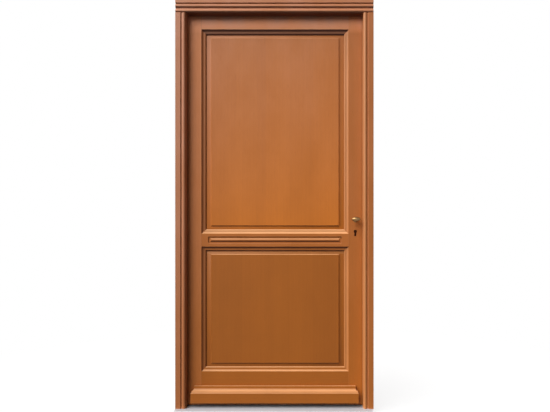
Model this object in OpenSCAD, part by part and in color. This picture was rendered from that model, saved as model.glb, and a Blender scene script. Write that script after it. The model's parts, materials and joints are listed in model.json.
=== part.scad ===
// Panelled front door in its frame: two raised panels, moulded stiles and rails, weather bar, mortise lock.
// Millimetres. +Z is up, +X is the lock side and +Y points indoors.
// The origin is the middle of the threshold's underside.

/* [Frame] */
// Overall width of the frame
frame_w = 1020; // [900:10:1200]
// Overall height of the frame, threshold included
frame_h = 2140; // [2000:10:2300]
// Width of a jamb's face
jamb_face = 52; // [48:1:70]
// Height of the head's face
head_face = 81; // [74:1:110]
// How far the leaf lies behind the face of the frame
reveal = 46; // [40:1:60]
// Width of the rebate that the leaf closes into
rebate = 17; // [15:1:20]
// Diameter of the bead along the opening
bead_d = 20; // [14:1:22]
// Width of the quirks beside the beads
quirk_w = 6; // [4:0.5:7]
// Depth of the quirks
quirk_d = 6; // [3:0.5:7]
// Width of the reed between the head's two quirks
reed_w = 18; // [10:1:20]
// Height of the reed above its edges
reed_h = 4; // [2:0.5:6]
// Length of the tenons that join the jambs to the head
frame_tenon_l = 40; // [25:1:45]

/* [Threshold] */
// Height of the threshold
sill_h = 20; // [16:1:30]
// How far the threshold's nose stands out in front of the frame
sill_nose = 24; // [12:1:40]
// Wall of the hollow threshold profile
sill_wall = 3; // [2:0.5:4]
// Height of the nose at its front edge
nose_h = 13; // [10:1:15]

/* [Leaf] */
// Thickness of the stiles and rails
leaf_t = 50; // [48:1:60]
// Gap round the leaf's edges
leaf_gap = 4; // [3.5:0.5:6]
// Gap under the leaf
floor_gap = 8; // [6:0.5:12]
// Face width of a stile, edge to moulding
stile_face = 86; // [84:1:110]
// Face height of the top rail
top_rail_face = 80; // [70:1:120]
// Face height of the lock rail
lock_rail_face = 69; // [60:1:120]
// Height of the lock rail's centre
lock_rail_z = 889; // [850:1:950]
// Face height of the bottom rail
bottom_rail_face = 174; // [150:1:220]
// Length of the tenons on the rails
tenon_l = 55; // [30:1:60]
// Length of the lock rail's tenon beside the lock
tenon_short_l = 11; // [8:1:14]

/* [Panel mouldings] */
// Step at the moulding's outer edge
step = 2; // [1:0.5:3]
// Width of the cavetto below the step
cavetto_w = 12; // [9:0.5:14]
// Depth of the cavetto
cavetto_d = 8; // [6:0.5:9]
// Flat between the cavetto and the ovolo
fillet_w = 3; // [1:0.5:4]
// Width of the ovolo beside the panel
ovolo_w = 7.5; // [5:0.5:9]
// Depth of the ovolo
ovolo_d = 5; // [4:0.5:6]
// Drop from the ovolo to the panel
drop = 3; // [1:0.5:3]
// Depth of the groove that holds a panel
groove_d = 14; // [10:1:16]

/* [Panels] */
// Play between a panel's tongue and each side of its groove
tongue_play = 0.2; // [0.1:0.1:0.5]
// Room for a panel to swell in its groove
panel_room = 1.5; // [1:0.5:3]
// Width of the sloping margin at the raised field's sides
margin_side = 22; // [12:1:40]
// Width of the sloping margin above and below the field
margin_end = 13.5; // [10:0.5:30]
// Rise of the sloping margin
margin_rise = 4.5; // [2:0.1:5]
// Radius of the cove under the field's edge
cove_r = 6; // [4:0.5:8]

/* [Lock rail ornament] */
// Distance of the sunk channel's ends from the stiles
channel_end = 35; // [20:1:120]
// Height of the sunk channel
channel_w = 36; // [28:1:44]
// Depth of the sunk channel
channel_d = 5; // [3:0.5:6]
// Corner radius of the sunk channel
channel_r = 8; // [4:1:12]
// Height of the reed in the channel
rail_reed_w = 18; // [12:1:22]
// Flat at each end of the reed, inside the channel
rail_reed_end = 10; // [6:1:20]

/* [Weather bar] */
// Distance of the weather bar's ends from the leaf's edges
bar_end = 37; // [30:1:80]
// Height of the weather bar
bar_h = 84; // [80:1:110]
// How far the weather bar stands out from the leaf
bar_out = 36; // [36:1:40]
// Height of the weather bar's underside above the leaf's lower edge
bar_lift = 16; // [6:1:25]
// Radius of the cove on top of the bar
bar_cove_r = 16; // [12:1:18]
// Radius of the nosing below the cove
nosing_r = 4; // [2:0.5:5]
// Height of the step between the cove and the nosing
bar_step = 5; // [2:0.5:6]
// Radius of the drip groove under the bar
drip_r = 3; // [2:0.5:4]

/* [Hinges] */
// Height of a hinge, both flags together
hinge_h = 140; // [100:5:160]
// Outside diameter of a hinge knuckle
knuckle_d = 14; // [12:1:15]
// Diameter of a hinge pin
pin_d = 8; // [6:0.5:9]
// Thickness of a hinge flag's plate
flag_t = 2.5; // [2:0.5:3]
// Width of a hinge flag that is let into the wood
flag_w = 30; // [24:1:34]
// Height of the bottom hinge's centre above the leaf's lower edge
hinge_low = 230; // [180:10:300]
// Distance of the top hinge's centre from the leaf's upper edge
hinge_high = 220; // [160:10:300]

/* [Lock] */
// Distance of the knob's axis from the leaf's edge
backset = 50; // [46:1:60]
// Height of the knob's axis above the lock rail's centre
spindle_up = 107; // [90:1:140]
// Distance of the cylinder's axis below the knob's axis
key_drop = 62; // [62:1:75]
// Thickness of the lock case
case_t = 16; // [15:0.5:18]
// Length of the lock case behind the faceplate
case_l = 75; // [72:1:78]
// Thickness of the lock's sheet metal
sheet_t = 1.5; // [1:0.1:2]
// Width of the faceplate
faceplate_w = 22; // [20:1:26]
// Thickness of the faceplate and the strike plate
plate_t = 3; // [2:0.5:4]
// Side of the square spindle
spindle_s = 7; // [6:0.5:8]
// How far the latch stands out of the faceplate
latch_out = 12; // [10:0.5:13]
// How far the dead bolt is thrown
dead_throw = 20; // [15:1:22]
// Radius of the cylinder's round part
cylinder_r = 8.5; // [8:0.1:9]
// Width of the cylinder's lower web
cylinder_web = 10; // [9:0.5:11]
// Overall height of the cylinder's section
cylinder_h = 33; // [31:0.5:34]
// How far the cylinder's ends lie inside the leaf's faces
cylinder_recess = 3; // [1:0.5:6]

/* [Knobs] */
// Length of an oval knob
knob_l = 46; // [36:1:56]
// Thickness of an oval knob
knob_d = 24; // [18:1:28]
// Distance of a knob's middle from the leaf's face
knob_out = 38; // [32:1:48]
// Diameter of a knob's neck
neck_d = 14; // [12.5:0.5:16]
// Diameter of the collar round a knob's neck
collar_d = 26; // [20:1:34]
// Thickness of the collar
collar_t = 3; // [2:0.5:5]

/* [Hidden] */
$fn = 48;

// Colours
wood = [0.70, 0.40, 0.19];
wood_dark = [0.60, 0.34, 0.15];
aluminium = [0.75, 0.75, 0.77];
steel = [0.62, 0.62, 0.64];
brass = [0.80, 0.60, 0.32];
bronze = [0.20, 0.13, 0.08];
rubber = [0.12, 0.11, 0.10];

// Fits shared by pieces that meet
fit = 0.05; // round parts in their bores
play = 0.3; // pieces let into pockets
over = 1; // cutters run this far past a face
facets = 8; // flats along a moulded curve

// Frame levels
frame_d = reveal + leaf_t;
front_y = -frame_d / 2;
back_y = frame_d / 2;
frame_x = frame_w / 2;
open_x = frame_x - jamb_face;
rebate_x = open_x + rebate;
head_z = frame_h - head_face;
rebate_z = head_z + rebate;
seal_t = 3; // gap between the stop and the leaf, closed by the seal
leaf_y0 = front_y + reveal;
leaf_y1 = leaf_y0 + leaf_t;
mid_y = (leaf_y0 + leaf_y1) / 2;
stop_y = leaf_y0 - seal_t;

// Leaf levels
leaf_x = rebate_x - leaf_gap;
leaf_z0 = sill_h + floor_gap;
leaf_z1 = rebate_z - leaf_gap;
arris_x = leaf_x - stile_face;
upper_z1 = leaf_z1 - top_rail_face;
upper_z0 = lock_rail_z + lock_rail_face / 2;
lower_z1 = lock_rail_z - lock_rail_face / 2;
lower_z0 = leaf_z0 + bottom_rail_face;
channel_l = 2 * (arris_x - channel_end);
bar_l = 2 * (leaf_x - bar_end);

// Moulding and groove
mould_w = cavetto_w + fillet_w + ovolo_w;
mould_d = step + cavetto_d + ovolo_d + drop;
core = mould_w - groove_d; // the wood between the arris and the groove's floor
sight_x = arris_x - mould_w;
groove_x = arris_x - core;
groove_w = leaf_t - 2 * mould_d;
tenon_t = groove_w - 2; // a shoulder of 1 mm on each side

// Curve that starts flat at [u, v], bulges outward and ends w along and d down
function ovolo(u, v, w, d) =
    let (r = (w * w + d * d) / (2 * d), turn = 2 * atan(d / w))
    [for (i = [0:facets]) [u + r * sin(turn * i / facets), v + r * (1 - cos(turn * i / facets))]];

// Hollow curve that starts steep at [u, v] and ends flat, w along and d down
function cavetto(u, v, w, d) = [for (p = reversed(ovolo(0, 0, w, d))) [u + w - p[0], v + d - p[1]]];

// Circular arc about [cx, cy]
function arc(cx, cy, r, from, to) =
    [for (i = [0:facets]) let (a = from + (to - from) * i / facets) [cx + r * cos(a), cy + r * sin(a)]];

function reversed(pts) = [for (i = [len(pts) - 1:-1:0]) pts[i]];

// Sticking from the arris to the sight line: distance into the opening, depth below the face
sticking = concat(
    [[0, 0]],
    cavetto(0, step, cavetto_w, cavetto_d),
    ovolo(cavetto_w + fillet_w, step + cavetto_d, ovolo_w, ovolo_d),
    [[mould_w, mould_d]]
);

// Moulded and grooved edge, from the outside arris to the inside one: distance into the opening, y
moulded_edge = concat(
    [for (p = sticking) [p[0], leaf_y0 + p[1]]],
    [[core, leaf_y0 + mould_d], [core, leaf_y1 - mould_d]],
    [for (p = reversed(sticking)) [p[0], leaf_y1 - p[1]]]
);

// Half of a panel's section with a margin of this width: distance from the panel's edge, half thickness
tongue_h = groove_w / 2 - tongue_play;
tongue_l = groove_d - panel_room;
function panel_edge(margin) = concat(
    [[0, tongue_h], [tongue_l, tongue_h]],
    [for (p = arc(0, 0, cove_r, -90, 0))
        [tongue_l + margin + p[0], tongue_h + margin_rise + cove_r + p[1]]]
);

// Whole section of a panel of this half width, about y = 0
function panel_section(half, margin) = let (edge = panel_edge(margin)) concat(
    [for (p = edge) [p[0] - half, -p[1]]],
    [for (p = reversed(edge)) [half - p[0], -p[1]]],
    [for (p = edge) [half - p[0], p[1]]],
    [for (p = reversed(edge)) [p[0] - half, p[1]]]
);

// Bead and quirk beside an opening: distance from the opening's edge, depth below the face
bead_r = bead_d / 2;
bead_end = asin((bead_r - quirk_d) / bead_r);
bead_and_quirk = concat(
    [for (p = arc(bead_r, bead_r, bead_r, 180, 360 - bead_end)) p],
    [[bead_d + quirk_w, quirk_d]]
);

// Reed after the head's first quirk, between two quirks
reed_0 = bead_d + quirk_w;
reed_bulge = ovolo(0, 0, reed_w / 2, reed_h);
reed_and_quirk = concat(
    [for (p = reversed(reed_bulge)) [reed_0 + reed_w / 2 - p[0], p[1]]],
    [for (p = reed_bulge) [reed_0 + reed_w / 2 + p[0], p[1]]],
    [[reed_0 + reed_w, quirk_d], [reed_0 + reed_w + quirk_w, quirk_d], [reed_0 + reed_w + quirk_w, 0]]
);

// Extrusions along each axis: [z, y] sections along X, [x, z] sections along Y, [x, y] sections along Z
module along_x(x0, x1, section) {
    translate([x0, 0, 0]) rotate([0, 90, 0]) linear_extrude(x1 - x0)
        polygon([for (p = section) [-p[0], p[1]]]);
}

module along_y(y0, y1) {
    translate([0, y1, 0]) rotate([90, 0, 0]) linear_extrude(y1 - y0) children();
}

module along_z(z0, z1) {
    translate([0, 0, z0]) linear_extrude(z1 - z0) children();
}

module block(low, high) {
    translate(low) cube(high - low);
}

module rod_y(x, z, y0, y1, r) {
    translate([x, y1, z]) rotate([90, 0, 0]) cylinder(h = y1 - y0, r = r);
}

// The hinge side is the lock side's mirror image
module hinge_side() {
    mirror([1, 0, 0]) children();
}

// Countersunk wood screw, head up at z = 0, and the bore that takes it
module screw(d, head_d, length) {
    head_h = (head_d - d) / 2;
    slot_w = d / 4;
    slot_d = head_h / 2;
    difference() {
        rotate_extrude()
            polygon([[0, 0], [head_d / 2, 0], [d / 2, -head_h], [d / 2, d - length], [0, -length]]);
        block([-head_d, -slot_w / 2, -slot_d], [head_d, slot_w / 2, over]);
    }
}

module screw_bore(d, head_d, length) {
    head_h = (head_d - d) / 2;
    r = d / 2 + fit;
    head_r = head_d / 2 + fit;
    end = -length - over;
    rotate_extrude()
        polygon([[0, over], [head_r, over], [head_r, 0], [r, -head_h], [r, end], [0, end]]);
}

// Frame

anchor_r = 5.2; // holes for the frame's wall anchors
anchor_head_r = 9;
anchor_zs = [450, 1450];
frame_tenon_t = 24;
frame_tenon_y = [8, 8 + frame_tenon_t];
frame_tenon_x = [rebate_x + 6, frame_x - 8];
seal_stem_w = 3;
seal_stem_d = 6;
seal_w = 9;
seal_in = 8; // from the opening's edge to the middle of the seal
head_seal_x = open_x + seal_in + seal_w / 2; // the head's seal runs over the tops of the side seals
sill_screw_d = 5;
sill_screw_head = 10;
sill_screw_l = 60;
sill_screw_x = (rebate_x + frame_x) / 2;

// Chambers of the threshold lie between walls of equal thickness, and its screws go through the middle ones
sill_ribs = 4;
chamber_w = (frame_d - sill_wall * (sill_ribs + 1)) / sill_ribs;
sill_screw_ys = [-(chamber_w + sill_wall) / 2, (chamber_w + sill_wall) / 2];

jamb_face_section = concat(
    [[open_x, stop_y]],
    [for (p = bead_and_quirk) [open_x + p[0], front_y + p[1]]],
    [[open_x + bead_d + quirk_w, front_y], [frame_x, front_y], [frame_x, stop_y]]
);

module anchor_holes() {
    for (z = anchor_zs)
        translate([rebate_x, mid_y, z]) rotate([0, 90, 0]) {
            translate([0, 0, -over]) cylinder(h = frame_x - rebate_x + 2 * over, r = anchor_r);
            cylinder(h = anchor_head_r - anchor_r, r1 = anchor_head_r, r2 = anchor_r);
        }
}

module sill_screw_places() {
    for (x = [-sill_screw_x, sill_screw_x], y = sill_screw_ys)
        translate([x, y, sill_h - sill_wall]) rotate([180, 0, 0]) children();
}

module frame_tenon(gap) {
    block(
        [frame_tenon_x[0] - gap, frame_tenon_y[0] - gap, rebate_z - over],
        [frame_tenon_x[1] + gap, frame_tenon_y[1] + gap, rebate_z + frame_tenon_l + gap]
    );
}

// Jamb of the lock side without what is cut for the hinges or the lock
module jamb_blank() {
    difference() {
        union() {
            along_z(sill_h, head_z) polygon(jamb_face_section);
            block([rebate_x, stop_y, sill_h], [frame_x, back_y, rebate_z]);
            frame_tenon(0);
        }
        block(
            [open_x + seal_in - seal_stem_w / 2, stop_y - seal_stem_d, sill_h - over],
            [open_x + seal_in + seal_stem_w / 2, stop_y + over, head_z + over]
        );
        anchor_holes();
        sill_screw_places() screw_bore(sill_screw_d, sill_screw_d, sill_screw_l);
    }
}

module jamb_hinge_side() {
    color(wood) difference() {
        hinge_side() jamb_blank();
        for (z = hinge_zs) translate([0, 0, z]) {
            hinge_frame_gain();
            hinge_frame_screw_places() screw_bore(hinge_screw_d, hinge_screw_head, hinge_screw_l);
        }
    }
}

module jamb_lock_side() {
    color(wood) difference() {
        jamb_blank();
        strike_outline(play / 2, 0);
        keep_pockets();
        strike_screw_places() screw_bore(plate_screw_d, plate_screw_head, plate_screw_l);
    }
}

head_section = concat(
    [[head_z, stop_y]],
    [for (p = bead_and_quirk) [head_z + p[0], front_y + p[1]]],
    [for (p = reed_and_quirk) [head_z + p[0], front_y + p[1]]],
    [[frame_h, front_y], [frame_h, back_y], [rebate_z, back_y], [rebate_z, stop_y]]
);

module frame_head() {
    color(wood) difference() {
        along_x(-frame_x, frame_x, head_section);
        for (side = [0, 1]) mirror([side, 0, 0]) frame_tenon(play);
        block(
            [-head_seal_x, stop_y - seal_stem_d, head_z + seal_in - seal_stem_w / 2],
            [head_seal_x, stop_y + over, head_z + seal_in + seal_stem_w / 2]
        );
    }
}

nose_drop = 2; // chamfer of the nose's upper edge

module threshold() {
    color(aluminium) difference() {
        along_x(-frame_x, frame_x, [
            [0, front_y - sill_nose], [0, back_y], [sill_h, back_y], [sill_h, front_y],
            [nose_h + nose_drop, front_y - sill_nose + nose_drop], [nose_h, front_y - sill_nose]
        ]);
        for (i = [0:sill_ribs - 1]) {
            y = front_y + sill_wall + i * (chamber_w + sill_wall);
            block([-frame_x - over, y, sill_wall], [frame_x + over, y + chamber_w, sill_h - sill_wall]);
        }
        sill_screw_places() screw_bore(sill_screw_d, sill_screw_d, sill_screw_l);
        sill_screw_places() cylinder(h = sill_h, r = sill_screw_head / 2 + play);
    }
}

module threshold_screws() {
    color(steel) sill_screw_places() {
        head_h = (sill_screw_head - sill_screw_d) / 2;
        rotate_extrude() polygon([
            [0, head_h], [sill_screw_head / 2, head_h], [sill_screw_head / 2, 0], [sill_screw_d / 2, 0],
            [sill_screw_d / 2, sill_screw_d - sill_screw_l], [0, -sill_screw_l]
        ]);
    }
}

// Seal section: a stem for the groove and a round lip that the leaf closes on; across, y
seal_lip = ovolo(0, 0, seal_w / 2, seal_t - play);
seal_section = concat(
    [[-seal_stem_w / 2, stop_y], [-seal_stem_w / 2, stop_y - seal_stem_d]],
    [[seal_stem_w / 2, stop_y - seal_stem_d], [seal_stem_w / 2, stop_y]],
    [for (p = reversed(seal_lip)) [p[0], leaf_y0 - play - p[1]]],
    [for (p = seal_lip) if (p[0] > 0) [-p[0], leaf_y0 - play - p[1]]]
);

module side_seal() {
    along_z(sill_h, head_z)
        polygon([for (p = seal_section) [p[0] + open_x + seal_in, p[1]]]);
}

module seal_hinge_side() {
    color(rubber) hinge_side() side_seal();
}

module seal_lock_side() {
    color(rubber) side_seal();
}

module seal_head() {
    color(rubber)
        along_x(-head_seal_x, head_seal_x, [for (p = seal_section) [p[0] + head_z + seal_in, p[1]]]);
}

// Hinges

hinge_axis = [-(leaf_x + rebate_x) / 2, back_y + knuckle_d / 2 + 0.5];
hinge_zs = [leaf_z0 + hinge_low, (leaf_z0 + hinge_low + leaf_z1 - hinge_high) / 2, leaf_z1 - hinge_high];
washer_t = 2;
flag_h = (hinge_h - washer_t) / 2;
hinge_screw_d = 4;
hinge_screw_head = 8;
hinge_screw_l = 28;
hinge_screws = 3;
pin_end = 2; // chamfer at both ends of a pin, which stands out below its knuckle by as much

// Places along a flag's height, staggered across its width
module screw_rows(z0) {
    pitch = flag_h / hinge_screws;
    for (i = [0:hinge_screws - 1])
        translate([0, back_y - flag_w * (i % 2 == 0 ? 0.65 : 0.35), z0 + (i + 0.5) * pitch]) children();
}

module hinge_frame_screw_places() {
    screw_rows(-washer_t / 2 - flag_h) translate([-rebate_x, 0, 0]) rotate([0, 90, 0]) children();
}

module hinge_leaf_screw_places() {
    screw_rows(washer_t / 2) translate([-leaf_x, 0, 0]) rotate([0, -90, 0]) children();
}

module hinge_frame_gain() {
    block(
        [-rebate_x - flag_t, back_y - flag_w - play, -washer_t / 2 - flag_h - play],
        [-rebate_x + over, back_y + over, -washer_t / 2 + play]
    );
}

module hinge_leaf_gain() {
    block(
        [-leaf_x - over, back_y - flag_w - play, washer_t / 2 - play],
        [-leaf_x + flag_t, back_y + over, washer_t / 2 + flag_h + play]
    );
}

// Plate and knuckle of one flag, about the hinge's centre; the plate's outer face is at x
module flag(x0, x1, z0) {
    difference() {
        union() {
            block([x0, back_y - flag_w, z0], [x1, hinge_axis[1], z0 + flag_h]);
            translate([hinge_axis[0], hinge_axis[1], z0]) cylinder(h = flag_h, d = knuckle_d);
        }
        translate([hinge_axis[0], hinge_axis[1], z0 - over])
            cylinder(h = flag_h + 2 * over, d = pin_d + 2 * fit);
    }
}

module hinge_frame_flag(i) {
    color(brass) translate([0, 0, hinge_zs[i]]) difference() {
        flag(-rebate_x - flag_t, -rebate_x, -washer_t / 2 - flag_h);
        hinge_frame_screw_places() screw_bore(hinge_screw_d, hinge_screw_head, hinge_screw_l);
    }
}

module hinge_leaf_flag(i) {
    color(brass) translate([0, 0, hinge_zs[i]]) difference() {
        flag(-leaf_x, -leaf_x + flag_t, washer_t / 2);
        hinge_leaf_screw_places() screw_bore(hinge_screw_d, hinge_screw_head, hinge_screw_l);
    }
}

module hinge_pin(i) {
    color(steel) translate([hinge_axis[0], hinge_axis[1], hinge_zs[i] - hinge_h / 2]) rotate_extrude()
        polygon([
            [0, -pin_end], [pin_d / 2 - pin_end, -pin_end], [pin_d / 2, 0],
            [pin_d / 2, hinge_h - pin_end], [pin_d / 2 - pin_end, hinge_h], [0, hinge_h]
        ]);
}

module hinge_washer(i) {
    color(brass) translate([hinge_axis[0], hinge_axis[1], hinge_zs[i] - washer_t / 2]) difference() {
        cylinder(h = washer_t, d = knuckle_d);
        translate([0, 0, -over]) cylinder(h = washer_t + 2 * over, d = pin_d + 2 * fit);
    }
}

module hinge_frame_screws() {
    color(brass) for (z = hinge_zs)
        translate([0, 0, z]) hinge_frame_screw_places()
            screw(hinge_screw_d, hinge_screw_head, hinge_screw_l);
}

module hinge_leaf_screws() {
    color(brass) for (z = hinge_zs)
        translate([0, 0, z]) hinge_leaf_screw_places()
            screw(hinge_screw_d, hinge_screw_head, hinge_screw_l);
}

// Leaf

// Stile of the lock side without what is cut for the hinges or the lock
module stile_blank() {
    along_z(leaf_z0, leaf_z1)
        polygon(concat(
            [for (p = moulded_edge) [arris_x - p[0], p[1]]],
            [[leaf_x, leaf_y1], [leaf_x, leaf_y0]]
        ));
}

// Tenon of a rail at the lock side, between two levels
module rail_tenon(z0, z1, length, gap) {
    block(
        [groove_x - over, mid_y - tenon_t / 2 - gap, z0 - gap],
        [groove_x + length + gap, mid_y + tenon_t / 2 + gap, z1 + gap]
    );
}

// Tenons of all three rails on one stile; the lock rail's may be short to pass the lock
module rail_tenons(lock_rail_l, gap) {
    rail_tenon(upper_z1, leaf_z1 - top_rail_face / 3, tenon_l, gap);
    rail_tenon(lower_z1, upper_z0, lock_rail_l, gap);
    rail_tenon(leaf_z0 + bottom_rail_face / 4, lower_z0, tenon_l, gap);
}

module stile_hinge_side() {
    color(wood) difference() {
        hinge_side() difference() {
            stile_blank();
            rail_tenons(tenon_l, play);
        }
        brush_groove();
        for (z = hinge_zs) translate([0, 0, z]) {
            hinge_leaf_gain();
            hinge_leaf_screw_places() screw_bore(hinge_screw_d, hinge_screw_head, hinge_screw_l);
        }
    }
}

module stile_lock_side() {
    color(wood) difference() {
        stile_blank();
        rail_tenons(tenon_short_l, play);
        brush_groove();
        faceplate_outline(play / 2);
        block(
            [case_x0 - play, mid_y - case_t / 2 - play, case_z0 - play],
            [case_x1 + over, mid_y + case_t / 2 + play, case_z1 + play]
        );
        cylinder_outline(play, leaf_y0 - over, leaf_y1 + over);
        rod_y(spindle_x, spindle_z, leaf_y0 - over, leaf_y1 + over, spindle_hole_r);
        faceplate_screw_places() screw_bore(plate_screw_d, plate_screw_head, plate_screw_l);
    }
}

// A rail between the stiles, which cut its ends, so that they are scribed over the stiles' mouldings
module scribed_rail(section) {
    difference() {
        along_x(-arris_x, arris_x, section);
        stile_blank();
        hinge_side() stile_blank();
    }
}

module rail_top() {
    color(wood) {
        scribed_rail(concat(
            [for (p = moulded_edge) [upper_z1 - p[0], p[1]]], [[leaf_z1, leaf_y1], [leaf_z1, leaf_y0]]
        ));
        for (side = [0, 1]) mirror([side, 0, 0])
            rail_tenon(upper_z1, leaf_z1 - top_rail_face / 3, tenon_l, 0);
    }
}

module rail_lock() {
    color(wood) {
        difference() {
            scribed_rail(concat(
                [for (p = moulded_edge) [lower_z1 - p[0], p[1]]],
                [for (p = reversed(moulded_edge)) [upper_z0 + p[0], p[1]]]
            ));
            along_y(leaf_y0 - over, leaf_y0 + channel_d) channel_outline();
        }
        rail_reed();
        rail_tenon(lower_z1, upper_z0, tenon_short_l, 0);
        hinge_side() rail_tenon(lower_z1, upper_z0, tenon_l, 0);
    }
}

// Sunk channel with round corners
module channel_outline() {
    translate([0, lock_rail_z]) {
        square([channel_l - 2 * channel_r, channel_w], center = true);
        square([channel_l, channel_w - 2 * channel_r], center = true);
        for (x = [-1, 1], z = [-1, 1])
            translate([x * (channel_l / 2 - channel_r), z * (channel_w / 2 - channel_r)])
                circle(r = channel_r);
    }
}

// Reed in the channel's middle: the curve across it meets the same curve at its ends, which are hipped
module rail_reed() {
    bulge = ovolo(0, 0, rail_reed_w / 2, channel_d);
    half = channel_l / 2 - rail_reed_end - rail_reed_w / 2;
    intersection() {
        along_x(-channel_l / 2, channel_l / 2, concat(
            [for (p = reversed(bulge)) [lock_rail_z - p[0], leaf_y0 + p[1]]],
            [for (p = bulge) if (p[0] > 0) [lock_rail_z + p[0], leaf_y0 + p[1]]],
            [[lock_rail_z + rail_reed_w / 2, mid_y], [lock_rail_z - rail_reed_w / 2, mid_y]]
        ));
        along_z(lock_rail_z - rail_reed_w, lock_rail_z + rail_reed_w) polygon(concat(
            [for (p = reversed(bulge)) [-half - p[0], leaf_y0 + p[1]]],
            [for (p = bulge) [half + p[0], leaf_y0 + p[1]]],
            [[half + rail_reed_w / 2, mid_y], [-half - rail_reed_w / 2, mid_y]]
        ));
    }
}

module rail_bottom() {
    color(wood) difference() {
        union() {
            scribed_rail(concat(
                [for (p = moulded_edge) [lower_z0 + p[0], p[1]]], [[leaf_z0, leaf_y1], [leaf_z0, leaf_y0]]
            ));
            for (side = [0, 1]) mirror([side, 0, 0])
                rail_tenon(leaf_z0 + bottom_rail_face / 4, lower_z0, tenon_l, 0);
        }
        bar_tongue(play);
        brush_groove();
    }
}

// Raised and fielded on both faces: the two sections meet in mitred corners
module fielded_panel(z0, z1) {
    half_x = groove_x - panel_room;
    half_z = (z1 - z0) / 2 - core - panel_room;
    mid_z = (z0 + z1) / 2;
    intersection() {
        along_z(mid_z - half_z, mid_z + half_z)
            polygon([for (p = panel_section(half_x, margin_side)) [p[0], mid_y + p[1]]]);
        along_x(-half_x, half_x, [for (p = panel_section(half_z, margin_end)) [mid_z + p[0], mid_y + p[1]]]);
    }
}

module panel_upper() {
    color(wood_dark) fielded_panel(upper_z0, upper_z1);
}

module panel_lower() {
    color(wood_dark) fielded_panel(lower_z0, lower_z1);
}

// Weather bar: distance out from the leaf, height above its underside
bar_z = leaf_z0 + bar_lift;
bar_edge = 2; // chamfer of the lower front edge
bar_top_t = bar_out - nosing_r - bar_cove_r - 2; // thickness at the top; the step is set back by 2 mm
bar_lip = 8; // flat fillet at the top
bar_return = 0.6; // width of the profile at the ends, compared with the front
bar_front_h = bar_h - bar_lip - bar_cove_r - bar_step - nosing_r;
bar_tongue_z = [36, 48];
bar_tongue_d = 7;
brush_w = 6;
brush_in = 8;
bar_profile = concat(
    [[0, 0], [bar_out - bar_edge, 0], [bar_out, bar_edge]],
    arc(bar_out - nosing_r, bar_front_h, nosing_r, 0, 90),
    reversed(arc(bar_top_t + bar_cove_r, bar_h - bar_lip, bar_cove_r, 180, 270)),
    [[bar_top_t, bar_h], [0, bar_h]]
);

module bar_tongue(gap) {
    block(
        [-sight_x - gap, leaf_y0 - over, bar_z + bar_tongue_z[0] - gap],
        [sight_x + gap, leaf_y0 + bar_tongue_d + gap, bar_z + bar_tongue_z[1] + gap]
    );
}

// The same profile runs along the front and returns, narrower, round both ends
module weather_bar() {
    ends = [for (p = bar_profile) if (p[0] > 0)
        [bar_l / 2 - (bar_out - p[0]) * bar_return, bar_z + p[1]]];
    color(wood) {
        difference() {
            intersection() {
                along_x(-bar_l / 2, bar_l / 2, [for (p = bar_profile) [bar_z + p[1], leaf_y0 - p[0]]]);
                along_y(leaf_y0 - bar_out, leaf_y0)
                    polygon(concat(ends, [for (p = reversed(ends)) [-p[0], p[1]]]));
            }
            translate([-bar_l / 2 + bar_out, leaf_y0 - bar_out + 3 * drip_r, bar_z]) rotate([0, 90, 0])
                cylinder(h = bar_l - 2 * bar_out, r = drip_r);
        }
        bar_tongue(0);
    }
}

// Groove under the leaf, right across the stiles and the bottom rail
module brush_groove() {
    block(
        [-leaf_x - over, mid_y - brush_w / 2, leaf_z0 - over],
        [leaf_x + over, mid_y + brush_w / 2, leaf_z0 + brush_in]
    );
}

module bottom_seal() {
    lip = brush_w / 3;
    half = leaf_x - play;
    color(rubber) {
        block([-half, mid_y - brush_w / 2, leaf_z0], [half, mid_y + brush_w / 2, leaf_z0 + brush_in]);
        block([-half, mid_y - lip / 2, sill_h + play], [half, mid_y + lip / 2, leaf_z0 + over]);
    }
}

// Lock

spindle_x = leaf_x - backset;
spindle_z = lock_rail_z + spindle_up;
spindle_hole_r = spindle_s - 0.5;
key_z = spindle_z - key_drop;
case_x1 = leaf_x - plate_t;
case_x0 = case_x1 - case_l;
case_z0 = key_z - 42;
case_z1 = spindle_z + 38;
case_y0 = mid_y - case_t / 2;
case_y1 = mid_y + case_t / 2;
faceplate_end = 20; // the faceplate's length past the case, for its screws
bolt_t = case_t - 2 * sheet_t - 1; // half a millimetre of play on each side
plate_screw_d = 4;
plate_screw_head = 8;
plate_screw_l = 24;
follower_r = 9;
arm_r = 18; // reach of the follower's arm
arm_w = 6;
arm_t = 8;
latch_h = 18;
latch_z0 = spindle_z + 11;
latch_l = 25; // length of the latch's head behind the leaf's edge
dead_z0 = key_z + 13;
dead_h = 22;
stump_r = 3;
cam_r = 12.5;
cam_t = 9.4;
plug_r = 6.5;

// Section of a profile cylinder: a round body and a web below it
module cylinder_section(gap) {
    translate([spindle_x, key_z]) {
        circle(r = cylinder_r + gap);
        web_h = cylinder_h - cylinder_r - cylinder_web / 2;
        translate([-cylinder_web / 2 - gap, -web_h]) square([cylinder_web + 2 * gap, web_h]);
        translate([0, -web_h]) circle(r = cylinder_web / 2 + gap);
    }
}

module cylinder_outline(gap, y0, y1) {
    along_y(y0, y1) cylinder_section(gap);
}

module faceplate_outline(gap) {
    block(
        [leaf_x - plate_t, mid_y - faceplate_w / 2 - gap, case_z0 - faceplate_end - gap],
        [leaf_x + (gap > 0 ? over : 0), mid_y + faceplate_w / 2 + gap, case_z1 + faceplate_end + gap]
    );
}

module faceplate_screw_places() {
    for (z = [case_z0 - faceplate_end / 2, case_z1 + faceplate_end / 2])
        translate([leaf_x, mid_y, z]) rotate([0, 90, 0]) children();
}

// Ways for the two bolts, between two x planes
module bolt_ways(x0, x1, gap) {
    for (way = [[latch_z0, latch_h], [dead_z0, dead_h]])
        block(
            [x0, mid_y - bolt_t / 2 - gap, way[0] - gap],
            [x1, mid_y + bolt_t / 2 + gap, way[0] + way[1] + gap]
        );
}

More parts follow.
